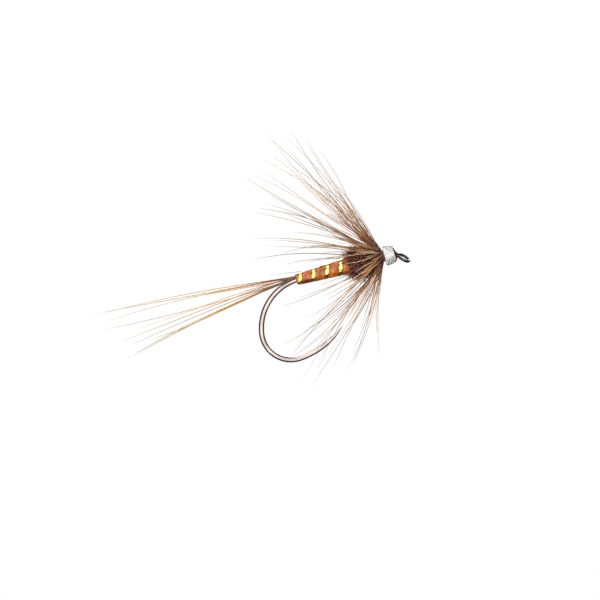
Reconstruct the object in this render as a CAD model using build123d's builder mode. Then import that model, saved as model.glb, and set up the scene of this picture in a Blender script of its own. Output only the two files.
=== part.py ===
"""A hackled trout fly tied on a barbless hook, modelled piece by piece in millimetres.

Frame: the origin is the centre of the hook eye's hole, +X runs forward along the shank towards the
eye, +Z is up and the bend hangs in -Z, with the hook lying in the XZ plane. Every layer that is wound
on the shank is built outwards from the wire, each one resting on the layer below it.
"""

import math
import os
import random

from build123d import *

# ---------------------------------------------------------------- driving dimensions, millimetres
# Hook wire
wire_diameter = 0.45
eye_wire_diameter = 0.24
eye_hole_diameter = 0.74
eye_ream_depth = 0.012  # the hole is reamed to size, which leaves a narrow straight band inside the ring
eye_tilt = 45.0  # degrees below the shank line
eye_twist = 22.0  # degrees that the ring is turned about the neck, its far side up
eye_throat_radius = 0.22  # where the wire swings sideways into the ring
eye_closed_to = 205.0  # degrees round the ring to where the wire's end meets the throat
neck_radius = 0.30  # where the shank turns down to the eye
neck_straight = 0.01
eye_taper_length = 0.60
heel_radius, heel_angle = 4.10, 80.0  # from the shank down to the back of the bend
bend_radius, bend_angle = 2.35, 105.0  # round the bottom of the bend
spear_radius = 7.00  # the long slow curve up to the point
spear_angle, point_angle = 13.0, 22.0  # full wire, then the tapering point
point_tip_radius = 0.012

# Stations along the shank, measured back from the centre of the eye
shank_rear = -8.50  # where the straight shank ends and the bend begins
body_overhang = 0.25  # how far the body carries on over the start of the bend
body_front = -4.45
thorax_fullest, thorax_front = -3.45, -2.16
collar_rear, collar_front = -2.12, -1.53
head_rear, head_fullest, head_front = -1.46, -1.28, -0.65

# Layers, from the wire outwards
fit = 0.003  # clearance between one wound layer and the next
thread_base_wall = 0.037
thread_diameter = 0.09
tag_width, tag_thickness = 0.20, 0.02
butt_radius = 0.030
lashing_turns = 4
lashing_wall = 0.036
floss_wall = 0.05
body_swell = 0.22  # how much fuller the body is at its front than at its rear
tinsel_width, tinsel_thickness, tinsel_pitch = 0.36, 0.03, 1.12
tinsel_start = 225.0  # degrees round the shank from the top, by the far side, to where the rib's first turn starts
thorax_swell = 0.46  # how far the thorax at its fullest stands out beyond the body's front
thorax_front_wall = 0.235
herl_diameter = 0.30
herl_wall = 0.17
collar_wall = 0.17
stem_radius, stem_turns = 0.045, 3
tie_down_wall = 0.20
head_radius, head_front_radius = 0.84, 0.69
varnish_wall = 0.02

# Tail barbs in order across the shank, from the near side to the far side:
# (length beyond the body, degrees above the shank line, degrees out to the far side, droop in degrees)
tail_barbs = [
    (14.3, -7.0, -7.0, 4.0),
    (15.4, 0.5, -5.8, -5.0),
    (14.9, -11.0, -4.4, 4.0),
    (13.4, -3.0, -3.2, 3.0),
    (16.3, 4.8, -2.0, 2.0),
    (14.9, -5.8, -0.6, 3.0),
    (15.7, 4.0, 0.7, 1.0),
    (13.0, -8.5, 1.9, -4.0),
    (15.3, 1.8, 3.0, 3.0),
    (14.2, -12.0, 4.3, 5.0),
    (9.0, 5.5, 5.6, -3.0),
    (14.0, -9.8, 7.0, 3.0),
]
tail_butt_length = 3.2
tail_tip_radius = 0.010
tail_seat_straight = 0.25  # how far a barb runs on along the shank before it fans out

# Hackle barbs gather into locks. Each lock, in order round the shank from the top by the far side:
# (degrees above the shank line, degrees out to the far side, barbs, length, curl back in degrees)
hackle_locks = [
    (75, 3, 2, 10.4, 2),
    (73, 8, 2, 10.9, -3),
    (65, 5, 3, 12.6, 4),
    (62, 12, 2, 13.0, -5),
    (57, 17, 3, 12.6, 8),
    (45, 22, 3, 13.6, 4),
    (42, 34, 2, 12.8, 12),
    (24, 34, 2, 12.2, 16),
    (14, 36, 2, 13.0, 20),
    (6, 38, 2, 11.6, 22),
    (-9, 38, 2, 12.2, 20),
    (-27, 33, 3, 12.8, 12),
    (-34, 25, 3, 11.8, 8),
    (-42, 18, 3, 11.6, -5),
    (-50, 12, 2, 11.6, 6),
    (-58, 6, 2, 9.4, 5),
    (-73, 0, 3, 7.6, -6),
    (-60, -12, 2, 8.4, 5),
    (-45, -18, 2, 10.4, 8),
    (-33, -25, 2, 11.2, -5),
    (-20, -36, 2, 9.8, 14),
    (-22, -58, 2, 6.5, 8),
    (4, -62, 2, 6.4, 10),
    (8, -42, 1, 8.0, 18),
    (22, -36, 2, 10.6, 12),
    (33, -32, 2, 11.6, 8),
    (47, -22, 2, 12.8, 4),
    (58, -13, 3, 12.0, 7),
    (68, -5, 2, 12.0, -3),
]
lock_fan = 5.0  # degrees round the shank from one barb of a lock to the next
lock_sweep_spread, lock_shortest = 2.5, 0.72  # uneven sweep in degrees, and the shortest share of the length
hackle_root_radius, hackle_tip_radius = 0.032, 0.010
hackle_seed = 12
barb_sides, barb_lengths = 4, 3  # a barb's section is a square, and it bends at two joints

# ---------------------------------------------------------------- sizes that follow from those above
wire_radius = wire_diameter / 2
eye_wire_radius = eye_wire_diameter / 2
eye_ring_radius = (eye_hole_diameter + eye_wire_diameter) / 2 - eye_ream_depth
throat_reach = math.sqrt(eye_ring_radius**2 + 2 * eye_ring_radius * eye_throat_radius)
neck_reach = throat_reach + neck_straight
tilt = math.radians(eye_tilt)
shank_z = neck_reach * math.sin(tilt) + neck_radius * (1 - math.cos(tilt))
shank_front = -(neck_reach * math.cos(tilt) + neck_radius * math.sin(tilt))
taper_rear = shank_front - eye_taper_length
shank_axis = Axis((0, 0, shank_z), (1, 0, 0))

base_radius = wire_radius + fit + thread_base_wall
butt_ring_radius = base_radius + fit + butt_radius
butt_step = 2 * math.degrees(math.asin((butt_radius + fit) / butt_ring_radius))
cover_bore = butt_ring_radius + butt_radius + fit  # what is wound over the tail butts
body_rear = shank_rear - body_overhang
lashing_front = body_rear + lashing_turns * thread_diameter
floss_rear_radius = cover_bore + lashing_wall + fit + floss_wall
floss_front_radius = floss_rear_radius + body_swell
thorax_radius = floss_front_radius + thorax_swell
thorax_front_radius = base_radius + thorax_front_wall
collar_radius = base_radius + fit + collar_wall
stem_ring_radius = collar_radius + fit + stem_radius
stem_pitch = (collar_front - collar_rear - 2 * stem_radius - 2 * fit) / stem_turns
stem_rear = collar_rear + stem_radius + fit
tie_down_radius = base_radius + fit + tie_down_wall


def save(piece, name):
    """Label a finished piece and write it to its own STEP file."""
    piece.part.label = name
    export_step(piece.part, f"parts/{name}.step")


def across_shank(x):
    """The plane square to the shank at station x, with its local x to the far side and y up."""
    return Plane((x, 0, shank_z), x_dir=(0, 1, 0), z_dir=(1, 0, 0))


def floss_radius(x):
    """The body's outer radius at station x: an even taper, fuller towards the thorax."""
    along = (x - body_rear) / (body_front - body_rear)
    return floss_rear_radius + along * (floss_front_radius - floss_rear_radius)


def barrel(fullest, full_radius, end, end_radius):
    """A barrel-shaped layer's radius by station: an arc that is fullest at one place and narrows to an end."""
    half, sag = abs(end - fullest), full_radius - end_radius
    curve = (half**2 + sag**2) / (2 * sag)
    return lambda x: full_radius - curve + math.sqrt(curve**2 - (x - fullest) ** 2)


def sleeve(rear, front, outer, inner):
    """A plain straight-sided sleeve about the shank; outer and inner give the radii at its two ends."""
    with BuildSketch(Plane.XZ) as outline:
        with BuildLine():
            Polyline(
                (rear, shank_z + inner[0]),
                (front, shank_z + inner[1]),
                (front, shank_z + outer[1]),
                (rear, shank_z + outer[0]),
                close=True,
            )
        make_face()
    revolve(outline.sketch, axis=shank_axis)


def turned_sleeve(rear, front, crest_at, bore_at, diameter):
    """Touching turns of a round strand: a bump for each turn over a straight or barrel-shaped bore, spun round."""
    turns = max(1, round((front - rear) / diameter))
    step = (front - rear) / turns
    groove = diameter / 4

    def surface(x, depth):
        return (x, shank_z + crest_at(x) - depth)

    with BuildSketch(Plane.XZ) as outline:
        with BuildLine():
            for k in range(turns):
                start = rear + k * step
                ThreePointArc(surface(start, groove), surface(start + step / 2, 0), surface(start + step, groove))
            rear_bore, middle_bore, front_bore = [(x, shank_z + bore_at(x)) for x in (rear, (rear + front) / 2, front)]
            Line(surface(front, groove), front_bore)
            if bore_at(rear) == bore_at(front):
                Line(front_bore, rear_bore)
            else:
                ThreePointArc(front_bore, middle_bore, rear_bore)
            Line(rear_bore, surface(rear, groove))
        make_face()
    revolve(outline.sketch, axis=shank_axis)


def sweep_direction(around, sweep):
    """A unit vector at an angle to the line back along the shank, turned round it from the top by the far side."""
    turn, angle = math.radians(around), math.radians(sweep)
    return Vector(-math.cos(angle), math.sin(angle) * math.sin(turn), math.sin(angle) * math.cos(turn))


def around_and_sweep(rise, splay):
    """The same direction's two angles, from its rise above the shank line and its splay to the far side."""
    up, out = math.radians(rise), math.radians(splay)
    across, height = math.sin(out), math.sin(up) * math.cos(out)
    return math.degrees(math.atan2(across, height)), math.degrees(math.acos(math.cos(up) * math.cos(out)))


def barb_stations(root, root_way, tip_way, length, root_radius, tip_radius):
    """Centre, heading and radius along a tapering barb that leaves its root one way and ends pointing another."""
    knee = root + root_way * (length / 2)
    tip = knee + tip_way * (length / 2)
    stations = []
    for k in range(barb_lengths + 1):
        t = k / barb_lengths
        centre = root * (1 - t) ** 2 + knee * (2 * t * (1 - t)) + tip * t**2
        heading = ((knee - root) * (1 - t) + (tip - knee) * t).normalized()
        stations.append((centre, heading, root_radius + t * (tip_radius - root_radius)))
    return stations


def barb_solid(stations):
    """One barb in flat-sided lengths through its stations."""
    sections = []
    for centre, heading, radius in stations:
        side = Vector(0, 1, 0) - heading * heading.Y
        with BuildSketch(Plane(centre, x_dir=side, z_dir=heading)) as section:
            RegularPolygon(radius, barb_sides)
        sections.append(section.sketch)
    return loft(sections, ruled=True, mode=Mode.PRIVATE)


os.makedirs("parts", exist_ok=True)


# ---------------------------------------------------------------- the hook: eye, shank, bend and point
down_the_neck = Axis((0, 0, 0), (math.cos(tilt), 0, -math.sin(tilt)))
bore_direction = Vector(math.sin(tilt), 0, math.cos(tilt)).rotate(down_the_neck, eye_twist)
eye_plane = Plane((0, 0, 0), x_dir=down_the_neck.direction, z_dir=bore_direction)


def eye_path():
    """The wire's centreline from the front of the shank, down the neck and round the eye."""
    neck_start = Vector(shank_front, 0, shank_z)
    neck_end = Vector(-neck_reach * math.cos(tilt), 0, neck_reach * math.sin(tilt))
    closing = math.radians(eye_closed_to)
    top = math.pi - math.atan2(eye_throat_radius, throat_reach)
    middle = (top + closing - 2 * math.pi) / 2

    def on_ring(angle):
        local = (eye_ring_radius * math.cos(angle), eye_ring_radius * math.sin(angle), 0)
        return eye_plane.from_local_coords(local)

    with BuildLine() as path:
        neck = TangentArc(neck_start, neck_end, tangent=(1, 0, 0))
        lead = Line(neck @ 1, eye_plane.from_local_coords((-throat_reach, 0, 0)))
        throat = TangentArc(lead @ 1, on_ring(top), tangent=lead % 1)
        ThreePointArc(throat @ 1, on_ring(middle), on_ring(closing))
    return path.line


with BuildLine(Plane.XZ) as bend_path:
    shank_run = Line((taper_rear, shank_z), (shank_rear, shank_z))
    heel = JernArc(shank_run @ 1, tangent=shank_run % 1, radius=heel_radius, arc_size=heel_angle)
    bend = JernArc(heel @ 1, tangent=heel % 1, radius=bend_radius, arc_size=bend_angle)
    spear = JernArc(bend @ 1, tangent=bend % 1, radius=spear_radius, arc_size=spear_angle)

with BuildLine(Plane.XZ) as point_path:
    JernArc(spear @ 1, tangent=spear % 1, radius=spear_radius, arc_size=point_angle)

# how far along the point each section stands, and its share of the wire's radius
point_sections = [(0.0, 1.0), (0.3, 0.90), (0.55, 0.70), (0.78, 0.42), (1.0, point_tip_radius / wire_radius)]

with BuildPart() as hook:
    with BuildSketch(across_shank(taper_rear)):
        Circle(wire_radius)
    sweep(path=bend_path.line)
    with BuildSketch(across_shank(taper_rear)):
        Circle(wire_radius)
    with BuildSketch(across_shank(shank_front)):
        Circle(eye_wire_radius)
    loft()
    with BuildSketch(across_shank(shank_front)):
        Circle(eye_wire_radius)
    sweep(path=eye_path())
    with BuildSketch(eye_plane.offset(-eye_wire_diameter / 2)):
        Circle(eye_hole_diameter / 2)
    extrude(amount=eye_wire_diameter, mode=Mode.SUBTRACT)
    for along, share in point_sections:
        with BuildSketch(Plane(point_path.line @ along, z_dir=point_path.line % along)):
            Circle(wire_radius * share)
    loft()
save(hook, "hook")

# ---------------------------------------------------------------- the thread base along the bare shank
with BuildPart() as thread_base:
    base_bore = wire_radius + fit
    sleeve(shank_rear, head_front, (base_radius, base_radius), (base_bore, base_bore))
save(thread_base, "thread_base")

# ---------------------------------------------------------------- the tail, one piece for each barb
for number, (length, rise, splay, droop) in enumerate(tail_barbs):
    around = (number - (len(tail_barbs) - 1) / 2) * butt_step
    seat_y = butt_ring_radius * math.sin(math.radians(around))
    seat_z = shank_z + butt_ring_radius * math.cos(math.radians(around))
    seat = Vector(body_rear - tail_seat_straight, seat_y, seat_z)
    fan_root = sweep_direction(*around_and_sweep(rise + droop, splay))
    fan_tip = sweep_direction(*around_and_sweep(rise - droop, splay))
    fan = barb_stations(seat, fan_root, fan_tip, length - tail_seat_straight, butt_radius, tail_tip_radius)
    butt = Vector(body_rear + tail_butt_length, seat_y, seat_z)
    with BuildPart() as tail_barb:
        add(barb_solid([(butt, Vector(-1, 0, 0), butt_radius), *fan]))
    save(tail_barb, f"tail_barb_{number + 1:02d}")

with BuildPart() as tail_lashing:
    turned_sleeve(
        body_rear,
        lashing_front,
        crest_at=lambda x: floss_radius(x) - floss_wall - fit,
        bore_at=lambda x: cover_bore,
        diameter=thread_diameter,
    )
save(tail_lashing, "tail_lashing")

# ---------------------------------------------------------------- the body: tag end, underbody, floss, rib
with BuildPart() as tinsel_tag:
    tag_top = shank_z - base_radius - fit
    tag_centre = ((body_rear + body_front) / 2, 0, tag_top - tag_thickness)
    with BuildSketch(Plane(tag_centre)):
        Rectangle(body_front - body_rear, tag_width)
    extrude(amount=tag_thickness)
save(tinsel_tag, "tinsel_tag")

with BuildPart() as underbody:
    under_rear = lashing_front + fit
    outer = [floss_radius(x) - floss_wall - fit for x in (under_rear, body_front)]
    sleeve(under_rear, body_front, outer, (cover_bore, cover_bore))
save(underbody, "underbody")

with BuildPart() as body_floss:
    outer = [floss_radius(x) for x in (body_rear, body_front)]
    sleeve(body_rear, body_front, outer, [radius - floss_wall for radius in outer])
save(body_floss, "body_floss")

taper = math.degrees(math.atan2(floss_front_radius - floss_rear_radius, body_front - body_rear))
rib_rear = body_rear + tinsel_width / 2
rib_turns = (body_front - body_rear - tinsel_width - 2 * fit) / tinsel_pitch
rib_lift = fit + tinsel_thickness / 2
rib_from_top = Helix(
    tinsel_pitch,
    rib_turns * tinsel_pitch,
    floss_radius(rib_rear) + rib_lift,
    center=(rib_rear, 0, shank_z),
    direction=(1, 0, 0),
    cone_angle=taper,
    lefthand=True,
)
rib_line = rib_from_top.rotate(shank_axis, -tinsel_start)
with BuildPart() as rib_tinsel:
    out_from_shank = (rib_line @ 0 - Vector(rib_rear, 0, shank_z)).normalized()
    along_cone = Vector(1, 0, 0) * math.cos(math.radians(taper)) + out_from_shank * math.sin(math.radians(taper))
    with BuildSketch(Plane(rib_line @ 0, x_dir=along_cone, z_dir=rib_line % 0)):
        Rectangle(tinsel_width, tinsel_thickness)
    sweep(path=rib_line, is_frenet=True)
save(rib_tinsel, "rib_tinsel")

# ---------------------------------------------------------------- the thorax: dubbed core and herl
thorax_rear = body_front + fit
herl_crest = barrel(thorax_fullest, thorax_radius, thorax_front, thorax_front_radius)
core_radius = barrel(thorax_fullest, thorax_radius - herl_wall, thorax_front, thorax_front_radius - herl_wall)
with BuildPart() as thorax_core:
    core_bore = base_radius + fit
    with BuildSketch(Plane.XZ):
        with BuildLine():
            core_ends = [(x, shank_z + core_radius(x) - fit) for x in (thorax_rear, thorax_front)]
            ThreePointArc(core_ends[0], (thorax_fullest, shank_z + core_radius(thorax_fullest) - fit), core_ends[1])
            Polyline(core_ends[1], (thorax_front, shank_z + core_bore), (thorax_rear, shank_z + core_bore), core_ends[0])
        make_face()
    revolve(axis=shank_axis)
save(thorax_core, "thorax_core")

with BuildPart() as thorax_herl:
    turned_sleeve(thorax_rear, thorax_front, crest_at=herl_crest, bore_at=core_radius, diameter=herl_diameter)
save(thorax_herl, "thorax_herl")

# ---------------------------------------------------------------- the hackle: collar, wound stem and barbs
with BuildPart() as hackle_collar:
    sleeve(collar_rear, collar_front, (collar_radius, collar_radius), (base_radius + fit, base_radius + fit))
save(hackle_collar, "hackle_collar")

with BuildPart() as hackle_stem:
    stem_line = Helix(
        stem_pitch, stem_pitch * stem_turns, stem_ring_radius, center=(stem_rear, 0, shank_z), direction=(1, 0, 0)
    )
    with BuildSketch(Plane(stem_line @ 0, z_dir=stem_line % 0)):
        Circle(stem_radius)
    sweep(path=stem_line, is_frenet=True)
save(hackle_stem, "hackle_stem")

shuffle = random.Random(hackle_seed)
barbs_by_turn = [[] for _ in range(stem_turns)]
barb_count = sum(lock[2] for lock in hackle_locks)
root_ring_radius = stem_ring_radius + stem_radius + hackle_root_radius
first_around = around_and_sweep(*hackle_locks[0][:2])[0]
for rise, splay, barbs, length, curl in hackle_locks:
    lock_around, lock_sweep = around_and_sweep(rise, splay)
    for barb in range(barbs):
        index = sum(len(turn) for turn in barbs_by_turn)
        root_around = first_around + 360 * index / barb_count
        turn = index % stem_turns
        root_x = stem_rear + (turn + (root_around % 360) / 360) * stem_pitch
        outwards = sweep_direction(root_around, 90)
        root = Vector(root_x, 0, shank_z) + outwards * root_ring_radius
        around = lock_around + (barb - (barbs - 1) / 2) * lock_fan
        sweep_angle = lock_sweep + shuffle.uniform(-lock_sweep_spread, lock_sweep_spread)
        share = 1 if barb == 0 else shuffle.uniform(lock_shortest, 1)
        root_way = sweep_direction(around, sweep_angle + curl)
        tip_way = sweep_direction(around, sweep_angle - curl)
        barbs_by_turn[turn].append(
            barb_stations(root, root_way, tip_way, length * share, hackle_root_radius, hackle_tip_radius)
        )

for turn, barbs in enumerate(barbs_by_turn):
    with BuildPart() as hackle_barbs:
        add([barb_solid(stations) for stations in barbs])
    save(hackle_barbs, f"hackle_barbs_turn_{turn + 1}")

# ---------------------------------------------------------------- the head: tie-down, thread and varnish
head_crest = barrel(head_fullest, head_radius, head_front, head_front_radius)
with BuildPart() as hackle_tie_down:
    tie_down_bore = base_radius + fit
    turned_sleeve(
        collar_front + fit,
        head_front - thread_diameter,
        crest_at=lambda x: tie_down_radius,
        bore_at=lambda x: tie_down_bore,
        diameter=thread_diameter,
    )
save(hackle_tie_down, "hackle_tie_down")

with BuildPart() as head_thread:
    turned_sleeve(
        head_rear, head_front, crest_at=head_crest, bore_at=lambda x: tie_down_radius + fit, diameter=thread_diameter
    )
save(head_thread, "head_thread")

with BuildPart() as head_varnish:
    inner = [(x, shank_z + head_crest(x) + fit) for x in (head_rear, head_fullest, head_front)]
    outer = [(x, z + varnish_wall) for x, z in inner]
    with BuildSketch(Plane.XZ):
        with BuildLine():
            ThreePointArc(*inner)
            Line(inner[2], outer[2])
            ThreePointArc(*outer)
            Line(outer[0], inner[0])
        make_face()
    revolve(axis=shank_axis)
save(head_varnish, "head_varnish")
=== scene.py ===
# A hackled trout fly on a barbless hook: the looks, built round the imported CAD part.
# All shapes are worked out in millimetres in the part's own frame (origin at the centre of the
# hook's eye, +X forward, +Z up) and put into the meshes in metres.
import math
import random

import bpy
import numpy as np
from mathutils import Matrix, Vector


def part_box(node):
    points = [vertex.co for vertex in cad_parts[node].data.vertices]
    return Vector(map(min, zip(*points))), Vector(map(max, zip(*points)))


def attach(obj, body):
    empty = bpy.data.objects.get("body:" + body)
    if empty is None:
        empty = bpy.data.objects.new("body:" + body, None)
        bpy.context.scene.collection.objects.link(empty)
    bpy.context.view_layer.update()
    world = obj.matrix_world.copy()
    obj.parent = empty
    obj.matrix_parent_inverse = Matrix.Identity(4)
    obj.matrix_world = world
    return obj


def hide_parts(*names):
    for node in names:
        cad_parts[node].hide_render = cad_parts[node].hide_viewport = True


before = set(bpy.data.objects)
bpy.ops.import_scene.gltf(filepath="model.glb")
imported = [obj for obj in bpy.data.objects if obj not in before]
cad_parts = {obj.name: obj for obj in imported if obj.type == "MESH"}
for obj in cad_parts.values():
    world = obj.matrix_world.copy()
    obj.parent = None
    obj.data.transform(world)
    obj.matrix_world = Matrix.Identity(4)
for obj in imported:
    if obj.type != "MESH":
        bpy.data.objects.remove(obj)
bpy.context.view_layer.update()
mm = 0.001
print("frame loaded:", len(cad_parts), "nodes")


def boxOf(node):
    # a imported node's lowest and highest corners, in millimetres
    return np.array([list(corner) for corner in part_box(node)]) / mm


# the sizes that several pieces share: the shank's height from the thread base, which is centred on it
shank = {"z": boxOf("thread_base")[:, 2].mean(), "rear": boxOf("thread_base")[0, 0]}
layers = {"wire": 0.225, "fit": 0.003}  # the wire's radius, and the gap left between two pieces


def rgb(code):
    # sRGB hex to linear: under 0.04045 a straight line, above it a 2.4 power
    channels = [int(code[i:i + 2], 16) / 255 for i in (1, 3, 5)]
    linear = [c / 12.92 if c <= 0.04045 else ((c + 0.055) / 1.055) ** 2.4 for c in channels]
    return (*linear, 1.0)


def addNode(tree, kind, settings=None, links=None):
    # adds one node, gives it its settings and values, and links what is given as (node, output)
    made = tree.nodes.new(kind)
    for key, value in (settings or {}).items():
        if key == "stops":
            ramp = made.color_ramp.elements
            while len(ramp) < len(value):
                ramp.new(0.5)
            for stop, (place, colour) in zip(ramp, value):
                stop.position = place
                stop.color = rgb(colour) if isinstance(colour, str) else (colour, colour, colour, 1)
        else:
            setattr(made, key, value)
    for socket, value in (links or {}).items():
        if isinstance(value, tuple) and len(value) == 2 and hasattr(value[0], "outputs"):
            tree.links.new(value[0].outputs[value[1]], made.inputs[socket])
        else:
            made.inputs[socket].default_value = value
    return made


def newMaterial(name, **surface):
    # a material with one Principled shader, its fixed values set on its own sockets
    material = bpy.data.materials.new(name)
    material.use_nodes = True
    tree = material.node_tree
    tree.nodes.clear()
    shader = addNode(tree, "ShaderNodeBsdfPrincipled", None, surface)
    addNode(tree, "ShaderNodeOutputMaterial", None, {"Surface": (shader, "BSDF")})
    return material, tree, shader


def makePiece(name, verts, faces, material, replaces, attributes=None, uv=None):
    # verts in millimetres; attributes are one number for each vertex; uv is one pair for each vertex
    mesh = bpy.data.meshes.new(name)
    mesh.from_pydata((np.asarray(verts) * mm).tolist(), [], faces)
    for key, values in (attributes or {}).items():
        layer = mesh.attributes.new(key, "FLOAT", "POINT")
        layer.data.foreach_set("value", np.asarray(values, np.float32).ravel())
    if uv is not None:
        corner = np.empty(len(mesh.loops), np.int32)
        mesh.loops.foreach_get("vertex_index", corner)
        mesh.uv_layers.new(name="wound").data.foreach_set("uv", np.asarray(uv, np.float32)[corner].ravel())
    mesh.polygons.foreach_set("use_smooth", np.ones(len(mesh.polygons), bool))
    mesh.materials.append(material)
    piece = bpy.data.objects.new(name, mesh)
    bpy.context.scene.collection.objects.link(piece)
    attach(piece, "root")
    if replaces:
        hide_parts(*replaces)
    print("made", name, len(mesh.polygons), "faces")
    return piece


def unit(v):
    # each vector divided by its own length
    return v / np.linalg.norm(v, axis=-1, keepdims=True)


def gridFaces(rows, columns, closeRows=False, start=0):
    # quads of a grid whose columns wrap round, and whose rows also wrap if closeRows
    i, j = np.meshgrid(np.arange(rows if closeRows else rows - 1), np.arange(columns), indexing="ij")
    a = i * columns + j
    b = i * columns + (j + 1) % columns
    c = (i + 1) % rows * columns + (j + 1) % columns
    d = (i + 1) % rows * columns + j
    return (np.stack([a, b, c, d], -1).reshape(-1, 4) + start).tolist()


def tubes(centres, side, halfWidth, halfThick, sides):
    # many closed tubes at once: centres is (tubes, stations, 3). Each ring is an ellipse square to the
    # heading: centre + side * halfWidth * cos + normal * halfThick * sin. The ends are capped.
    many, stations = centres.shape[:2]
    heading = unit(np.gradient(centres, axis=1))
    across = unit(side - heading * np.sum(side * heading, -1, keepdims=True))
    normal = np.cross(heading, across)
    turn = np.arange(sides) * 2 * np.pi / sides
    ring = (across[:, :, None] * (halfWidth[..., None] * np.cos(turn))[..., None]
            + normal[:, :, None] * (halfThick[..., None] * np.sin(turn))[..., None])
    verts = (centres[:, :, None] + ring).reshape(-1, 3)
    one = np.array(gridFaces(stations, sides))
    starts = np.arange(many) * stations * sides
    quads = (one[None] + starts[:, None, None]).reshape(-1, 4).tolist()
    first = (np.arange(sides)[::-1][None] + starts[:, None]).tolist()
    last = (np.arange(sides)[None] + starts[:, None] + (stations - 1) * sides).tolist()
    return verts, quads + first + last


def turned(stations, radii, bore):
    # a sleeve about the shank: radii is (stations, around), the bore closes it underneath. A point is at
    # (x, -r sin turn, r cos turn), and its uv is (x in mm, share of the turn)
    around = radii.shape[1]
    turn = np.arange(around) * 2 * np.pi / around
    x = np.concatenate([[stations[0]], stations, [stations[-1]]])
    r = np.concatenate([np.full((1, around), bore[0]), radii, np.full((1, around), bore[1])])
    x = np.broadcast_to(x[:, None], r.shape)
    verts = np.stack([x, -r * np.sin(turn), shank["z"] + r * np.cos(turn)], -1)
    uv = np.stack([x, np.broadcast_to(turn / (2 * np.pi), r.shape)], -1)
    return verts.reshape(-1, 3), gridFaces(len(x), around, closeRows=True), uv.reshape(-1, 2)


def barrel(x, fullest, fullRadius, end, endRadius):
    # an arc that is fullest at one station and narrows to an end. Its own radius comes from the chord:
    # (half ^ 2 + sag ^ 2) / (2 * sag)
    half, sag = abs(end - fullest), fullRadius - endRadius
    curve = (half ** 2 + sag ** 2) / (2 * sag)
    return fullRadius - curve + np.sqrt(curve ** 2 - (x - fullest) ** 2)


def smoothNoise(rng, shape, cells):
    # uneven values from -1 to 1 on a grid: a coarse random grid, wrapped in its columns, blended by the cubic
    # s * s * (3 - 2 * s)
    coarse = rng.uniform(-1, 1, (cells[0] + 1, cells[1]))
    u = np.linspace(0, cells[0] - 1e-6, shape[0])
    v = np.arange(shape[1]) * cells[1] / shape[1]
    i, j = u.astype(int), v.astype(int)
    s, t = (u - i)[:, None], (v - j)[None]
    s, t = s * s * (3 - 2 * s), t * t * (3 - 2 * t)
    k = (j + 1) % cells[1]
    top = coarse[i][:, j] * (1 - t) + coarse[i][:, k] * t
    low = coarse[i + 1][:, j] * (1 - t) + coarse[i + 1][:, k] * t
    return top * (1 - s) + low * s


def wayOf(around, sweep):
    # a direction at the sweep angle to the line back along the shank, turned round it from the top
    turn, angle = np.radians(around), np.radians(sweep)
    return np.stack([-np.cos(angle), np.sin(angle) * np.sin(turn), np.sin(angle) * np.cos(turn)], -1)


def aroundAndSweep(rise, splay):
    # from degrees above the shank line and out to the far side, to the turn round the shank and the sweep
    # off it: the turn is atan(across / height), the sweep is acos(cos rise * cos splay)
    up, out = math.radians(rise), math.radians(splay)
    across, height = math.sin(out), math.sin(up) * math.cos(out)
    return math.degrees(math.atan2(across, height)), math.degrees(math.acos(math.cos(up) * math.cos(out)))


# camera, lights and floor

studio = {
    "roll": 15.2,  # degrees that the shank rises to the right in the view
    "centre": (-8.883, -1.642),  # the middle of the view: mm along the part's x, and above the shank
    "lens": 100.0, "sensor": 36.0, "fieldWidth": 48.0,
    "clip": (5.0, 5000.0), "floorDepth": 40.0, "floorSize": 4000.0, "lampsAimAt": (-8.0, 0.0, 0.0),
    # the surround's brightness from straight in front of the fly, through its plane, to straight behind it
    "surround": [(0.0, 1.0), (0.12, 0.95), (0.19, 0.15), (0.27, 0.02),
                 (0.78, 0.02), (0.92, 0.12), (1.0, 0.9)],
    "surroundStrength": 2.75,
    # soft boxes: (name, place in mm, size in mm, watts, colour)
    "boxes": [
        ("topBox", (-30, -60, 190), 120, 0.20, "#fffdf8"),
        ("backBox", (40, 190, 90), 200, 0.45, "#f6f9ff"),
    ],
}


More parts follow.
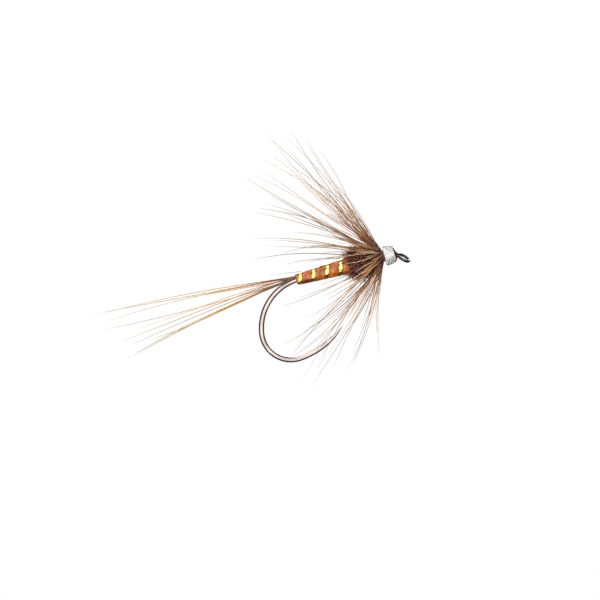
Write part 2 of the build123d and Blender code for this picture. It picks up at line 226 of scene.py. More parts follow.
def buildStudio():
    # the camera stands back by field width * lens / sensor, and is rolled about its line of sight
    away = studio["fieldWidth"] * studio["lens"] / studio["sensor"]
    camera = bpy.data.objects.new("camera", bpy.data.cameras.new("camera"))
    bpy.context.scene.collection.objects.link(camera)
    bpy.context.scene.camera = camera
    camera.data.lens, camera.data.sensor_width = studio["lens"], studio["sensor"]
    camera.data.clip_start, camera.data.clip_end = (c * mm for c in studio["clip"])
    camera.location = (studio["centre"][0] * mm, -away * mm, (shank["z"] + studio["centre"][1]) * mm)
    camera.rotation_euler = (math.radians(90), math.radians(studio["roll"]), 0)

    for name, place, size, watts, colour in studio["boxes"]:
        lamp = bpy.data.lights.new(name, "AREA")
        lamp.shape, lamp.size, lamp.energy = "DISK", size * mm, watts
        lamp.color = rgb(colour)[:3]
        box = bpy.data.objects.new(name, lamp)
        bpy.context.scene.collection.objects.link(box)
        box.location = [c * mm for c in place]
        aim = Vector(studio["lampsAimAt"]) - Vector(place)
        box.rotation_euler = aim.to_track_quat("-Z", "Y").to_euler()
        box.visible_camera = False

    # a white surround for the eye, and a shaded one for the light that reaches the fly
    world = bpy.data.worlds.new("studio")
    bpy.context.scene.world = world
    world.use_nodes = True
    tree = world.node_tree
    tree.nodes.clear()
    white = addNode(tree, "ShaderNodeBackground", None, {"Color": (1, 1, 1, 1), "Strength": 1.0})
    coords = addNode(tree, "ShaderNodeTexCoord")
    way = addNode(tree, "ShaderNodeSeparateXYZ", None, {"Vector": (coords, "Generated")})
    depth = addNode(tree, "ShaderNodeMapRange", None,
                    {"Value": (way, "Y"), "From Min": -1.0, "From Max": 1.0})
    shade = addNode(tree, "ShaderNodeValToRGB", {"stops": studio["surround"]}, {"Fac": (depth, "Result")})
    surround = addNode(tree, "ShaderNodeBackground", None,
                       {"Color": (shade, "Color"), "Strength": studio["surroundStrength"]})
    path = addNode(tree, "ShaderNodeLightPath")
    both = addNode(tree, "ShaderNodeMixShader", None,
                   {0: (path, "Is Camera Ray"), 1: (surround, "Background"), 2: (white, "Background")})
    addNode(tree, "ShaderNodeOutputWorld", None, {"Surface": (both, "Shader")})

    # the floor: a lit white sheet well under the fly
    half = studio["floorSize"] / 2 * mm
    depth = -studio["floorDepth"] * mm
    mesh = bpy.data.meshes.new("floor")
    mesh.from_pydata([(-half, -half, depth), (half, -half, depth), (half, half, depth), (-half, half, depth)],
                     [], [(0, 1, 2, 3)])
    sheet = bpy.data.materials.new("litWhiteAcrylic")
    sheet.use_nodes = True
    sheet.node_tree.nodes.clear()
    glow = addNode(sheet.node_tree, "ShaderNodeEmission", None, {"Color": (1, 1, 1, 1), "Strength": 1.0})
    addNode(sheet.node_tree, "ShaderNodeOutputMaterial", None, {"Surface": (glow, "Emission")})
    mesh.materials.append(sheet)
    floor = bpy.data.objects.new("floor", mesh)
    bpy.context.scene.collection.objects.link(floor)
    floor.visible_diffuse = floor.visible_glossy = floor.visible_transmission = floor.visible_shadow = False
    bpy.context.scene.view_settings.view_transform = "Standard"
    print("studio built")


buildStudio()

# materials

materialPlan = {
    # mm, the size of each pattern; real floss filaments are half as wide, drawn coarser to show
    "wireCloud": 1.2, "barbMottle": 0.7, "flossFilament": 0.03, "flossPatch": 0.5, "tinselCrease": 0.12,
    "threadFilament": 0.02, "threadPatch": 0.35, "herlPatch": 0.28, "varnishRipple": 0.3,
    # mm, how deep each one is
    "wireRelief": 0.002, "flossRelief": 0.02, "tinselRelief": 0.04, "threadRelief": 0.006,
    "herlRelief": 0.03, "varnishRelief": 0.02,
}


def perMetre(size):
    # a texture scale that repeats about every so many millimetres on coordinates in metres
    return 1 / (size * mm)


def bronzedSteelWire():
    # high-carbon steel wire, bronzed and lacquered: near black, with a warm bright line that faces the light,
    # and painted shade darkening the thin wire round the eye
    material, tree, shader = newMaterial("bronzedSteelWire", Metallic=1.0, Roughness=0.2,
                                         **{"Coat Weight": 0.2, "Coat Roughness": 0.1})
    uv = addNode(tree, "ShaderNodeUVMap", {"uv_map": "wound"})
    drawn = addNode(tree, "ShaderNodeMapping", None, {"Vector": (uv, "UV"), "Scale": (2.0, 40.0, 1.0)})
    streak = addNode(tree, "ShaderNodeTexNoise", None,
                     {"Vector": (drawn, "Vector"), "Scale": 1.0, "Detail": 4.0})
    coords = addNode(tree, "ShaderNodeTexCoord")
    cloud = addNode(tree, "ShaderNodeTexNoise", None,
                    {"Vector": (coords, "Object"), "Scale": perMetre(materialPlan["wireCloud"]),
                     "Detail": 3.0})
    blend = addNode(tree, "ShaderNodeMix", {"data_type": "FLOAT"},
                    {0: 0.35, 2: (cloud, "Fac"), 3: (streak, "Fac")})
    tint = addNode(tree, "ShaderNodeValToRGB",
                   {"stops": [(0.30, "#7b706b"), (0.50, "#a2958f"), (0.70, "#c3b8b1")]}, {"Fac": (blend, 0)})
    # the thin wire round the eye is multiplied towards a dark greenish grey: painted shade
    thinness = addNode(tree, "ShaderNodeAttribute", {"attribute_name": "thinness"})
    eyeShadedTint = addNode(tree, "ShaderNodeMix", {"data_type": "RGBA", "blend_type": "MULTIPLY"},
                    {0: (thinness, "Fac"), 6: (tint, "Color"), 7: rgb("#6a675c")})
    tree.links.new(eyeShadedTint.outputs[2], shader.inputs["Base Color"])
    rough = addNode(tree, "ShaderNodeMapRange", None,
                    {"Value": (streak, "Fac"), "To Min": 0.18, "To Max": 0.34})
    tree.links.new(rough.outputs["Result"], shader.inputs["Roughness"])
    bump = addNode(tree, "ShaderNodeBump", None,
                   {"Height": (streak, "Fac"), "Strength": 0.08, "Distance": materialPlan["wireRelief"] * mm})
    tree.links.new(bump.outputs["Normal"], shader.inputs["Normal"])
    return material


def featherBarb(name, stops, toneShift, roughness):
    # a natural feather barb: colour runs along the barb, and each barb is a little lighter or darker
    material, tree, shader = newMaterial(name, Roughness=roughness, IOR=1.54,
                                         **{"Sheen Weight": 0.06, "Sheen Roughness": 0.4,
                                            "Sheen Tint": rgb("#e9d9c0"), "Specular IOR Level": 0.45})
    along = addNode(tree, "ShaderNodeAttribute", {"attribute_name": "along"})
    tone = addNode(tree, "ShaderNodeAttribute", {"attribute_name": "tone"})
    coords = addNode(tree, "ShaderNodeTexCoord")
    mottle = addNode(tree, "ShaderNodeTexNoise", None,
                     {"Vector": (coords, "Object"), "Scale": perMetre(materialPlan["barbMottle"]),
                      "Detail": 3.0})
    shifted = addNode(tree, "ShaderNodeMath", {"operation": "MULTIPLY_ADD"},
                      {0: (mottle, "Fac"), 1: 0.24, 2: (along, "Fac")})
    placed = addNode(tree, "ShaderNodeMath", {"operation": "SUBTRACT"}, {0: (shifted, "Value"), 1: 0.12})
    ramp = addNode(tree, "ShaderNodeValToRGB", {"stops": stops}, {"Fac": (placed, "Value")})
    level = addNode(tree, "ShaderNodeMapRange", None,
                    {"Value": (tone, "Fac"), "To Min": 1 - toneShift, "To Max": 1 + toneShift})
    tinted = addNode(tree, "ShaderNodeHueSaturation", None,
                     {"Color": (ramp, "Color"), "Value": (level, "Result")})
    tree.links.new(tinted.outputs["Color"], shader.inputs["Base Color"])
    return material


def rayonFloss():
    # rayon floss, wound flat and wetted with varnish: a deep glossy orange-brown, its fine filaments round
    # the body
    material, tree, shader = newMaterial("rayonFloss", Roughness=0.4, IOR=1.5,
                                         **{"Anisotropic": 0.6, "Coat Weight": 0.45, "Coat Roughness": 0.12,
                                            "Specular IOR Level": 0.35})
    uv = addNode(tree, "ShaderNodeUVMap", {"uv_map": "wound"})
    strands = addNode(tree, "ShaderNodeMapping", None,
                      {"Vector": (uv, "UV"), "Scale": (1 / materialPlan["flossFilament"], 5.0, 1.0)})
    filament = addNode(tree, "ShaderNodeTexNoise", None,
                       {"Vector": (strands, "Vector"), "Scale": 1.0, "Detail": 5.0})
    coords = addNode(tree, "ShaderNodeTexCoord")
    patch = addNode(tree, "ShaderNodeTexNoise", None,
                    {"Vector": (coords, "Object"), "Scale": perMetre(materialPlan["flossPatch"]),
                     "Detail": 2.0})
    blend = addNode(tree, "ShaderNodeMix", {"data_type": "FLOAT"},
                    {0: 0.45, 2: (patch, "Fac"), 3: (filament, "Fac")})
    tint = addNode(tree, "ShaderNodeValToRGB",
                   {"stops": [(0.36, "#4a1602"), (0.46, "#8a3803"), (0.56, "#b25c0c"), (0.70, "#e4963a")]},
                   {"Fac": (blend, 0)})
    tree.links.new(tint.outputs["Color"], shader.inputs["Base Color"])
    bump = addNode(tree, "ShaderNodeBump", None,
                   {"Height": (filament, "Fac"), "Strength": 0.8,
                    "Distance": materialPlan["flossRelief"] * mm})
    tree.links.new(bump.outputs["Normal"], shader.inputs["Normal"])
    return material


def goldTinsel(name, wound):
    # metallised flat tinsel: a mirror gold film, creased a little where it was pulled tight; the crease
    # pattern's palest colour is a painted highlight
    material, tree, shader = newMaterial(name, Metallic=1.0, Roughness=0.22,
                                         **{"Coat Weight": 0.2, "Coat Roughness": 0.1})
    if wound:
        place = (addNode(tree, "ShaderNodeUVMap", {"uv_map": "wound"}), "UV")
        scale = (1 / materialPlan["tinselCrease"], 1.5, 1.0)
    else:
        place = (addNode(tree, "ShaderNodeTexCoord"), "Object")
        scale = (perMetre(materialPlan["tinselCrease"]),) * 3
    creases = addNode(tree, "ShaderNodeMapping", None, {"Vector": place, "Scale": scale})
    crease = addNode(tree, "ShaderNodeTexNoise", None,
                     {"Vector": (creases, "Vector"), "Scale": 1.0, "Detail": 3.0})
    # the colour follows the creases: dark olive gold to gold, and a pale cream end that is painted highlight
    tint = addNode(tree, "ShaderNodeValToRGB",
                   {"stops": [(0.32, "#86701f"), (0.48, "#c4a544"), (0.62, "#f8ecb4")]},
                   {"Fac": (crease, "Fac")})
    tree.links.new(tint.outputs["Color"], shader.inputs["Base Color"])
    bump = addNode(tree, "ShaderNodeBump", None,
                   {"Height": (crease, "Fac"), "Strength": 0.8,
                    "Distance": materialPlan["tinselRelief"] * mm})
    tree.links.new(bump.outputs["Normal"], shader.inputs["Normal"])
    return material


def tyingThread(name, dark, light, gloss):
    # waxed multifilament thread in touching turns, and what looks like it: satin, with fibres and patches
    material, tree, shader = newMaterial(name, Roughness=gloss, IOR=1.5,
                                         **{"Sheen Weight": 0.3, "Sheen Roughness": 0.35, "Anisotropic": 0.3})
    coords = addNode(tree, "ShaderNodeTexCoord")
    fibres = addNode(tree, "ShaderNodeMapping", None,
                     {"Vector": (coords, "Object"), "Scale": (1.0, 0.25, 0.25)})
    fibre = addNode(tree, "ShaderNodeTexNoise", None,
                    {"Vector": (fibres, "Vector"), "Scale": perMetre(materialPlan["threadFilament"]),
                     "Detail": 3.0})
    patch = addNode(tree, "ShaderNodeTexNoise", None,
                    {"Vector": (coords, "Object"), "Scale": perMetre(materialPlan["threadPatch"]),
                     "Detail": 2.0})
    blend = addNode(tree, "ShaderNodeMix", {"data_type": "FLOAT"},
                    {0: 0.5, 2: (patch, "Fac"), 3: (fibre, "Fac")})
    tint = addNode(tree, "ShaderNodeValToRGB", {"stops": [(0.3, dark), (0.65, light)]}, {"Fac": (blend, 0)})
    tree.links.new(tint.outputs["Color"], shader.inputs["Base Color"])
    bump = addNode(tree, "ShaderNodeBump", None,
                   {"Height": (fibre, "Fac"), "Strength": 0.4, "Distance": materialPlan["threadRelief"] * mm})
    tree.links.new(bump.outputs["Normal"], shader.inputs["Normal"])
    return material


def herlQuill():
    # feather herl wound as rope: nearly black, with plum and rust painted in patches as light that comes
    # through
    material, tree, shader = newMaterial("featherHerl", Roughness=0.5, IOR=1.54,
                                         **{"Sheen Weight": 0.4, "Sheen Roughness": 0.3,
                                            "Sheen Tint": rgb("#a0607a")})
    coords = addNode(tree, "ShaderNodeTexCoord")
    patch = addNode(tree, "ShaderNodeTexNoise", None,
                    {"Vector": (coords, "Object"), "Scale": perMetre(materialPlan["herlPatch"]),
                     "Detail": 4.0})
    # the plum and rust patches are painted light, standing for light that comes through the herl
    tint = addNode(tree, "ShaderNodeValToRGB",
                   {"stops": [(0.35, "#0e0708"), (0.5, "#2a151b"), (0.62, "#50262f"), (0.75, "#76402f")]},
                   {"Fac": (patch, "Fac")})
    tree.links.new(tint.outputs["Color"], shader.inputs["Base Color"])
    bump = addNode(tree, "ShaderNodeBump", None,
                   {"Height": (patch, "Fac"), "Strength": 0.6, "Distance": materialPlan["herlRelief"] * mm})
    tree.links.new(bump.outputs["Normal"], shader.inputs["Normal"])
    return material


def headVarnish():
    # clear head varnish, brushed on and levelled: colourless over the thread, and darker and redder towards
    # the tip of the nose
    material, tree, shader = newMaterial("clearHeadVarnish", Roughness=0.08, IOR=1.38,
                                         **{"Transmission Weight": 1.0})
    # the colour turns darker and redder towards the nose's tip, by the share of the way along it
    pooled = addNode(tree, "ShaderNodeAttribute", {"attribute_name": "pooled"})
    tint = addNode(tree, "ShaderNodeValToRGB",
                   {"stops": [(0.0, "#fdfdfb"), (0.3, "#d8a999"), (0.8, "#7d4034"), (1.0, "#5a2a22")]},
                   {"Fac": (pooled, "Fac")})
    tree.links.new(tint.outputs["Color"], shader.inputs["Base Color"])
    coords = addNode(tree, "ShaderNodeTexCoord")
    ripple = addNode(tree, "ShaderNodeTexNoise", None,
                     {"Vector": (coords, "Object"), "Scale": perMetre(materialPlan["varnishRipple"]),
                      "Detail": 1.0})
    bump = addNode(tree, "ShaderNodeBump", None,
                   {"Height": (ripple, "Fac"), "Strength": 0.25,
                    "Distance": materialPlan["varnishRelief"] * mm})
    tree.links.new(bump.outputs["Normal"], shader.inputs["Normal"])
    return material


wireFinish = bronzedSteelWire()
tailFinish = featherBarb("gingerTailBarb", [(0.0, "#2c1810"), (0.20, "#52301a"), (0.32, "#8c5a24"),
                                            (0.46, "#b58432"), (0.76, "#b6964e"), (0.92, "#aa9b80"),
                                            (1.0, "#aea9a0")], 0.3, 0.36)
hackleFinish = featherBarb("brownHackleBarb", [(0.0, "#4a2a1b"), (0.14, "#744529"), (0.32, "#ad7848"),
                                               (0.56, "#b68a58"), (0.80, "#a99884"), (1.0, "#aca6a0")],
                           0.6, 0.36)
flueFinish = featherBarb("herlFlue", [(0.0, "#120809"), (0.4, "#381a1d"), (0.75, "#75392c"),
                                      (1.0, "#ac6e4c")], 0.5, 0.4)
flossFinish = rayonFloss()
tinselFinish = goldTinsel("goldTinsel", True)
tagFinish = goldTinsel("goldTinselTag", False)
herlFinish = herlQuill()
brownThread = tyingThread("waxedBrownThread", "#3a2416", "#7b5533", 0.5)
silverThread = tyingThread("silverGreyThread", "#b4b6bb", "#f4f4f6", 0.34)
quillFinish = tyingThread("hornyFeatherQuill", "#3a2413", "#8a6238", 0.35)
dubbingFinish = tyingThread("waxedFurDubbing", "#1c1012", "#46282a", 0.8)
varnishFinish = headVarnish()
print("materials built")

# the hook: one bent wire

hookPlan = {
    # the eye: the radii of its wire, ring and throat, how far round it closes, its tilt and its turn
    "eyeWire": 0.12, "eyeRing": 0.478, "throat": 0.22, "closedTo": 205.0, "tilt": 45.0, "twist": 22.0,
    "neckRadius": 0.30, "neckStraight": 0.01, "eyeTaper": 0.60,
    "heel": (4.10, 80.0), "bend": (2.35, 105.0), "spear": (7.00, 35.0),  # (radius, degrees turned)
    "pointStarts": 13.0,  # degrees into the spear
    # the point, from its tip: shares of its length, and of the wire's radius there
    "point": ([0, 0.22, 0.45, 0.7, 1.0], [0.05, 0.42, 0.70, 0.90, 1.0]),
    # the cut end: how far it is rounded, and the share of radius ^ 2 that is left at the cut
    "cutRounding": 0.10, "cutLeast": 0.04,
    "sides": 28, "ringSteps": 100, "throatSteps": 16, "neckSteps": 12, "shankSteps": 60,
}


def arcOf(centre, u, v, radius, start, end, count):
    # points on a circle: centre + radius * (u cos + v sin), from one angle to another in degrees
    angle = np.radians(np.linspace(start, end, count))[:, None]
    return np.asarray(centre) + radius * (np.asarray(u) * np.cos(angle) + np.asarray(v) * np.sin(angle))


def buildHook():
    # the wire's centreline is arcs and lines: ring, throat, neck, shank, heel, bend and spear. Each arc of the
    # bend starts on the last one's end, its centre square to the heading there, with about a point a degree
    p = hookPlan
    tilt, twist = math.radians(p["tilt"]), math.radians(p["twist"])
    down, up = np.array([math.cos(tilt), 0, -math.sin(tilt)]), np.array([math.sin(tilt), 0, math.cos(tilt)])
    side = np.array([0, math.cos(twist), 0]) + up * math.sin(twist)
    reach = math.sqrt(p["eyeRing"] ** 2 + 2 * p["eyeRing"] * p["throat"])
    leave = math.degrees(math.atan2(p["throat"], reach))
    ring = arcOf((0, 0, 0), down, side, p["eyeRing"], p["closedTo"] - 360, 180 - leave,
                 p["ringSteps"])
    throat = arcOf(p["throat"] * side - reach * down, down, side, p["throat"], -leave, -90, p["throatSteps"])
    neckFoot = -(reach + p["neckStraight"]) * down
    neck = arcOf(neckFoot - p["neckRadius"] * up, up, -down, p["neckRadius"], 0, p["tilt"], p["neckSteps"])
    shankRun = np.linspace(neck[-1], (shank["rear"], 0, neck[-1, 2]), p["shankSteps"])[1:]
    bends, at, swung = [], shankRun[-1], 0.0
    for radius, swept in (p["heel"], p["bend"], p["spear"]):
        start = math.radians(swung)
        centre = at + radius * np.array([math.sin(start), 0, -math.cos(start)])
        bends.append(arcOf(centre, (0, 0, 1), (-1, 0, 0), radius, swung, swung + swept, int(swept) + 8)[1:])
        at, swung = bends[-1][-1], swung + swept
    path = np.concatenate([ring[:-1], throat, neck, shankRun, *bends])
    heading = unit(np.gradient(path, axis=0))
    along = np.concatenate([[0], np.cumsum(np.linalg.norm(np.diff(path, axis=0), axis=1))])

    # each section's side vector lies in the hook's plane, and leans by the twist round the eye
    neckEnds = len(ring) + len(throat) + len(neck) - 1
    lean = twist * np.clip((neckEnds - np.arange(len(path))) / len(neck), 0, 1)[:, None]
    inPlane = np.cross((0, -1, 0), heading)
    flat = len(ring) + len(throat) - 1
    inPlane[:flat] = -up
    sideways = inPlane * np.cos(lean) + np.array([0, 1, 0]) * np.sin(lean)

    # radius: thin round the eye, an even taper to the full wire, and the point
    thick = np.clip((neck[-1, 0] - path[:, 0]) / p["eyeTaper"], 0, 1)
    radius = p["eyeWire"] + thick * (layers["wire"] - p["eyeWire"])
    pointRun = math.radians(p["spear"][1] - p["pointStarts"]) * p["spear"][0]
    radius = radius * np.interp((along[-1] - along) / pointRun, *p["point"])
    cut = np.clip(along / p["cutRounding"], 0, 1)
    radius = radius * np.sqrt(np.clip(1 - (1 - cut) ** 2, p["cutLeast"], 1))
    verts, faces = tubes(path[None], sideways[None], radius[None], radius[None], p["sides"])
    uv = np.stack([np.repeat(along, p["sides"]), np.tile(np.arange(p["sides"]) / p["sides"], len(path))], -1)
    thinness = np.repeat(1 - thick, p["sides"])  # 1 round the eye, falling to 0 where the wire is full; it darkens the eye's wire as painted shade
    makePiece("hookWire", verts, faces, wireFinish, ["hook"], {"thinness": thinness}, uv)


buildHook()

# the tail

barbulePlan = {
    # slant leans a spike to the barb's tip; first is a share of the barb's length, and seat of its width
    "slant": 1.6, "first": 0.015, "scatter": 0.3, "tilt": 0.5, "uneven": (0.6, 1.2), "seat": 0.6,
    "thick": (0.010, 0.004),  # half the foot's thickness at the barb's root, and its loss by the tip
}

tailPlan = {
    # (length beyond the body, degrees above the shank line, degrees out to the far side, droop in degrees)
    "barbs": [
        (14.3, -7.0, -7.0, 4.0), (15.4, 0.5, -5.8, -5.0), (14.9, -11.0, -4.4, 4.0), (13.4, -3.0, -3.2, 3.0),
        (16.3, 4.8, -2.0, 2.0), (14.9, -5.8, -0.6, 3.0), (15.7, 4.0, 0.7, 1.0), (13.0, -8.5, 1.9, -4.0),
        (15.3, 1.8, 3.0, 3.0), (14.2, -12.0, 4.3, 5.0), (9.0, 5.5, 5.6, -3.0), (14.0, -9.8, 7.0, 3.0),
    ],
    "seatStraight": 0.25, "buttLength": 3.2, "buttRing": 0.298, "buttRadius": 0.030,
    "width": (0.060, 0.025), "thick": (0.040, 0.016), "sway": 0.10, "seed": 5,
    "barbulesPerMm": 5.0, "barbuleLength": (0.09, 0.03), "barbulesEnd": 0.5,
    "stations": 28, "buttStations": 8, "broadSide": (0, 0.6, 0.8),
}


def barbLines(root, rootWay, tipWay, length, stations, sway, rng):
    # a quadratic curve from root to tip, pulled to a knee at half length, plus a sway of 0.3 to 1.1 waves that
    # grows to the tip; sway is its size in mm on a barb 12 mm long
    t = np.linspace(0, 1, stations)[None, :, None]
    root, rootWay, tipWay = (np.asarray(a)[:, None] for a in (root, rootWay, tipWay))
    half = np.asarray(length)[:, None, None] / 2
    knee = root + rootWay * half
    tip = knee + tipWay * half
    line = root * (1 - t) ** 2 + knee * (2 * t * (1 - t)) + tip * t ** 2
    phase = rng.uniform(0, 2 * np.pi, (len(root), 1, 3))
    waves = rng.uniform(0.3, 1.1, (len(root), 1, 1))
    push = np.sin(phase + waves * 2 * np.pi * t) - np.sin(phase)
    return line + push * sway * t * (half / 6)


def barbules(lines, side, plan, rng, tone):
    # fine hooks along both edges of each barb: slim three-sided spikes leaning to the tip. A spike's way is
    # outwards + tilt * normal + slant * heading
    b, halfWidth, length, end = barbulePlan, plan["width"], plan["barbuleLength"], plan["barbulesEnd"]
    many, stations = lines.shape[:2]
    run = np.linalg.norm(lines[:, -1] - lines[:, 0], axis=-1)
    count = int(run.max() * end * plan["barbulesPerMm"])
    t = np.linspace(b["first"], end, count) + rng.uniform(-b["scatter"], b["scatter"], (many, count)) / count
    at = np.clip(t, 0, 1) * (stations - 1)
    i = np.minimum(at.astype(int), stations - 2)
    f = (at - i)[..., None]
    rows = np.arange(many)[:, None]
    base = lines[rows, i] * (1 - f) + lines[rows, i + 1] * f
    heading = unit(lines[rows, i + 1] - lines[rows, i])
    across = unit(side - heading * np.sum(side * heading, -1, keepdims=True))
    normal = np.cross(heading, across)
    left = np.where(np.arange(count) % 2, 1.0, -1.0)[None, :, None]
    tilt = rng.uniform(-b["tilt"], b["tilt"], (many, count, 1))
    reach = (length[0] + (length[1] - length[0]) * t) * rng.uniform(*b["uneven"], t.shape)
    way = unit(across * left + normal * tilt + heading * b["slant"])
    start = base + across * left * (halfWidth[0] + (halfWidth[1] - halfWidth[0]) * t)[..., None] * b["seat"]
    thick = (b["thick"][0] - b["thick"][1] * t)[..., None]
    tip = start + way * reach[..., None]
    foot = [start + heading * thick, start - heading * thick, start + normal * thick]
    verts = np.stack([*foot, tip], 2).reshape(-1, 3)
    faces = np.array([[0, 1, 2], [0, 3, 1], [1, 3, 2], [2, 3, 0]])
    allFaces = faces[None] + np.arange(many * count)[:, None, None] * 4
    turnOver = np.broadcast_to(left[0, :, 0] > 0, (many, count)).reshape(-1)
    allFaces[turnOver] = allFaces[turnOver][:, :, ::-1]
    along = np.repeat(np.clip(t, 0, 1).reshape(-1), 4)
    tones = np.repeat(np.repeat(tone, count), 4)
    return verts, allFaces.reshape(-1, 3).tolist(), along, tones


def barbPiece(name, lines, side, plan, rng, material, replaces, darkest=0, sides=6):
    # barbs with their barbules joined into one piece; the last few of them may be the darkest. Width and
    # thickness go from root to tip by t ^ 0.8, and lose 0.7 of themselves by t ^ 12, so the point is short
    many, stations = lines.shape[:2]
    t = np.broadcast_to(np.linspace(0, 1, stations), (many, stations))
    fade, point = t ** 0.8, 1 - 0.7 * t ** 12
    width = (plan["width"][0] + (plan["width"][1] - plan["width"][0]) * fade) * point
    thick = (plan["thick"][0] + (plan["thick"][1] - plan["thick"][0]) * fade) * point
    tone = rng.uniform(0, 1, many)
    tone[many - darkest:] = 0
    verts, faces = tubes(lines, side, width, thick, sides)
    along = np.repeat(t.reshape(-1), sides)
    tones = np.repeat(tone, stations * sides)
    more, moreFaces, moreAlong, moreTones = barbules(lines, side, plan, rng, tone)
    faces += (np.array(moreFaces) + len(verts)).tolist()
    verts = np.concatenate([verts, more])
    return makePiece(name, verts, faces, material, replaces,
                     {"along": np.concatenate([along, moreAlong]),
                      "tone": np.concatenate([tones, moreTones])})


def buildTail():
    # each barb lies along the shank under the body as a butt, and leaves it as a quadratic curve
    p = tailPlan
    rng = np.random.default_rng(p["seed"])
    bodyRear = boxOf("body_floss")[0, 0]
    step = 2 * math.degrees(math.asin((p["buttRadius"] + layers["fit"]) / p["buttRing"]))
    for number, (length, rise, splay, droop) in enumerate(p["barbs"]):
        around = math.radians((number - (len(p["barbs"]) - 1) / 2) * step)
        y, z = p["buttRing"] * math.sin(around), shank["z"] + p["buttRing"] * math.cos(around)
        seat = np.array([bodyRear - p["seatStraight"], y, z])
        rootWay = wayOf(*aroundAndSweep(rise + droop, splay))
        tipWay = wayOf(*aroundAndSweep(rise - droop, splay))
        free = length - p["seatStraight"]
        fan = barbLines([seat], [rootWay], [tipWay], [free], p["stations"], p["sway"], rng)
        butt = np.linspace((bodyRear + p["buttLength"], y, z), seat, p["buttStations"])[None, :-1]
        lines = np.concatenate([butt, fan], 1)
        barbPiece(f"tailBarb{number + 1:02d}", lines, np.array(p["broadSide"]), p, rng, tailFinish,
                  [f"tail_barb_{number + 1:02d}"])


buildTail()

# the body: floss and rib

bodyPlan = {
    "rear": boxOf("body_floss")[0, 0], "front": boxOf("body_floss")[1, 0],
    "radius": (0.42, boxOf("body_floss")[1, 1]), "wall": 0.05, "swell": 0.045, "endDrop": 0.035,
    "endRun": 0.06, "stations": 240,  # the rear end rounds down by endDrop over endRun
    "strandPitch": 0.16, "strandHeight": 0.006, "lumpHeight": 0.010, "lumpCells": (20, 10),
    "tinselWidth": 0.36, "tinselThick": 0.03, "pitch": 1.12, "startTurn": 225.0, "crown": 0.028,
    "turnSteps": 72, "windRadius": 0.55,  # the helix's usual radius, which sets the crease pattern's length
    "around": 96, "seed": 7,
}


def bodyRadius(x):
    # an even taper: the rear radius, plus the share of the way along times the gain to the front
    p = bodyPlan
    return p["radius"][0] + (x - p["rear"]) / (p["front"] - p["rear"]) * (p["radius"][1] - p["radius"][0])


def buildBody():
    # floss: the even taper, swelling between the rib's turns by swell * sin(pi * way to the next turn) ^ 0.7
    p = bodyPlan
    rng = np.random.default_rng(p["seed"])
    x = np.linspace(p["rear"], p["front"], p["stations"])
    turn = np.arange(p["around"]) / p["around"]
    start = p["rear"] + p["tinselWidth"] / 2
    ribAt = start + ((-turn - p["startTurn"] / 360) % 1) * p["pitch"]
    phase = ((x[:, None] - ribAt[None]) / p["pitch"]) % 1
    swell = p["swell"] * np.sin(np.pi * phase) ** 0.7
    strand = p["strandHeight"] * np.cos(2 * np.pi * (x[:, None] / p["strandPitch"] + turn[None]))
    lumps = p["lumpHeight"] * smoothNoise(rng, (p["stations"], p["around"]), p["lumpCells"])
    ends = np.clip((x - p["rear"]) / p["endRun"], 0, 1)[:, None]
    rounding = p["endDrop"] * (1 - np.sqrt(1 - (1 - ends) ** 2))
    radii = bodyRadius(x)[:, None] - rounding + (swell + strand + lumps) * ends
    verts, faces, uv = turned(x, radii, [bodyRadius(x[0]) - p["wall"], bodyRadius(x[-1]) - p["wall"]])
    makePiece("bodyFloss", verts, faces, flossFinish, ["body_floss"], uv=uv)

    # rib: a slightly crowned flat strip carried along a helix on the tapered body, turning left-handed
    turns = (p["front"] - p["rear"] - p["tinselWidth"] - 2 * layers["fit"]) / p["pitch"]
    s = np.linspace(0, turns, int(turns * p["turnSteps"]))
    angle = np.radians(p["startTurn"]) + 2 * np.pi * s
    across = np.linspace(-0.5, 0.5, 9)  # the strip's width in nine points
    top = p["tinselThick"] + p["crown"] * (1 - (2 * across) ** 2)
    under = np.stack([across[::-1], np.zeros_like(across)], -1)
    profile = np.concatenate([np.stack([across, top], -1), under])
    cx = start + s * p["pitch"]
    px = cx[:, None] + profile[None, :, 0] * p["tinselWidth"]
    pr = bodyRadius(px) + layers["fit"] + profile[None, :, 1]
    ribVerts = np.stack([px, pr * np.sin(angle)[:, None], shank["z"] + pr * np.cos(angle)[:, None]], -1)
    count = len(profile)
    faces = gridFaces(len(s), count)
    faces += [list(range(count))[::-1], list(range((len(s) - 1) * count, len(s) * count))]
    length = s * 2 * np.pi * p["windRadius"]
    uv = np.stack([np.repeat(length, count), np.tile(profile[:, 0] + 0.5, len(s))], -1)
    makePiece("ribTinsel", ribVerts.reshape(-1, 3), faces, tinselFinish, ["rib_tinsel"], uv=uv)


buildBody()

# the thorax: wound herl and its flue

thoraxPlan = {
    "rear": boxOf("thorax_herl")[0, 0], "front": boxOf("thorax_herl")[1, 0], "fullest": -3.45,
    "radius": boxOf("thorax_herl")[1, 1], "frontRadius": 0.50,
    "quillPitch": 0.30, "quillSink": 0.30, "quillShare": 0.7, "shoulder": 0.7, "shoulderDrop": 0.30,
    "ridge": 0.10, "ridgeFoot": 0.08, "lumpHeight": 0.05, "lumpCells": (14, 12), "stations": 150,
    "least": 0.31, "bore": 0.29, "flue": 2600, "flueLength": (0.35, 0.95),
    "flueWidth": (0.036, 0.011), "flueThick": 0.8, "flueUneven": (0.7, 1.25), "flueEnds": (0.02, 0.05),
    "flueLean": (-0.5, 0.5), "flueTwist": 0.45,  # lean has a middle and a spread
    "longFlue": (0.02, 1.6),  # the share of the flue that is longer, and how many times
    "flueStations": 4, "flueSides": 3, "seed": 11, "around": 96,
}


